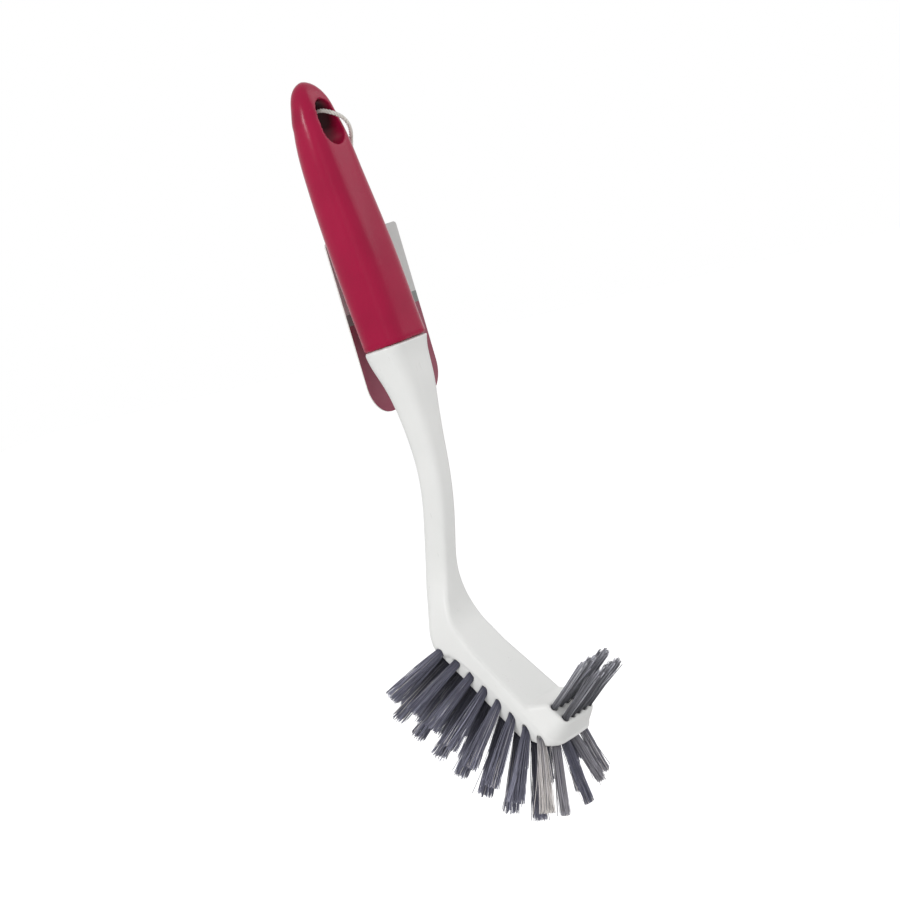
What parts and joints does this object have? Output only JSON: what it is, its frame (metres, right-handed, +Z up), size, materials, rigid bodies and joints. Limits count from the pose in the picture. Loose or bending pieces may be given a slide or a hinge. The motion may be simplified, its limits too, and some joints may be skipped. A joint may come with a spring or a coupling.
{
  "type": "dish brush",
  "caption": "Long-handled washing-up brush with a fanned tuft head, a short scraper brush at the tip, a moulded grip with a hanging hole, and a card tag on a string.",
  "frame": {"origin": "middle of the hanging hole, half way through the grip", "axes": "+Z up along the brush as it hangs, +X the front, where the scraper tufts stand, +Y across the brush to the side where the tag hangs out"},
  "size_m": [0.1015, 0.0728, 0.3024],
  "materials": {
    "brush_body": "satin",
    "grip": "satin",
    "main_bristle": "matte",
    "scraper_bristle": "matte",
    "tuft_anchors": "brushed",
    "hang_tag": "matte",
    "tag_string": "matte",
    "string_knot": "matte"
  },
  "bodies": {
    "brush": {"brush_body": "brush_body", "grip": "grip", "tuft_anchors": "tuft_anchors", "tuft_end_1": "main_bristle", "tuft_end_2": "main_bristle", "tuft_end_3": "main_bristle", "tuft_inner_far_1": "main_bristle", "tuft_inner_far_2": "main_bristle", "tuft_inner_far_3": "main_bristle", "tuft_inner_far_4": "main_bristle", "tuft_inner_far_5": "main_bristle", "tuft_inner_far_6": "main_bristle", "tuft_inner_far_7": "main_bristle", "tuft_inner_near_1": "main_bristle", "tuft_inner_near_2": "main_bristle", "tuft_inner_near_3": "main_bristle", "tuft_inner_near_4": "main_bristle", "tuft_inner_near_5": "main_bristle", "tuft_inner_near_6": "main_bristle", "tuft_inner_near_7": "main_bristle", "tuft_middle_1": "main_bristle", "tuft_middle_2": "main_bristle", "tuft_middle_3": "main_bristle", "tuft_middle_4": "main_bristle", "tuft_middle_5": "main_bristle", "tuft_middle_6": "main_bristle", "tuft_middle_7": "main_bristle", "tuft_outer_far_1": "main_bristle", "tuft_outer_far_2": "main_bristle", "tuft_outer_far_3": "main_bristle", "tuft_outer_far_4": "main_bristle", "tuft_outer_far_5": "main_bristle", "tuft_outer_far_6": "main_bristle", "tuft_outer_far_7": "main_bristle", "tuft_outer_far_8": "main_bristle", "tuft_outer_near_1": "main_bristle", "tuft_outer_near_2": "main_bristle", "tuft_outer_near_3": "main_bristle", "tuft_outer_near_4": "main_bristle", "tuft_outer_near_5": "main_bristle", "tuft_outer_near_6": "main_bristle", "tuft_outer_near_7": "main_bristle", "tuft_outer_near_8": "main_bristle", "scraper_back_1": "scraper_bristle", "scraper_back_2": "scraper_bristle", "scraper_back_3": "scraper_bristle", "scraper_back_4": "scraper_bristle", "scraper_back_5": "scraper_bristle", "scraper_front_1": "scraper_bristle", "scraper_front_2": "scraper_bristle", "scraper_front_3": "scraper_bristle", "scraper_front_4": "scraper_bristle", "scraper_front_5": "scraper_bristle"},
    "string": {"tag_string": "tag_string", "string_knot": "string_knot"},
    "tag": {"hang_tag": "hang_tag"}
  },
  "joints": [
    {"name": "string_swing", "type": "hinge", "parent": "brush", "child": "string", "pos_m": [0, 0.0025, 0.005], "axis": [1, 0, 0], "range_deg": [0, 25]},
    {"name": "tag_turn", "type": "hinge", "parent": "string", "child": "tag", "pos_m": [-0.0093, 0.0203, -0.0533], "axis": [1, 0, 0], "range_deg": [-30, 30]}
  ]
}
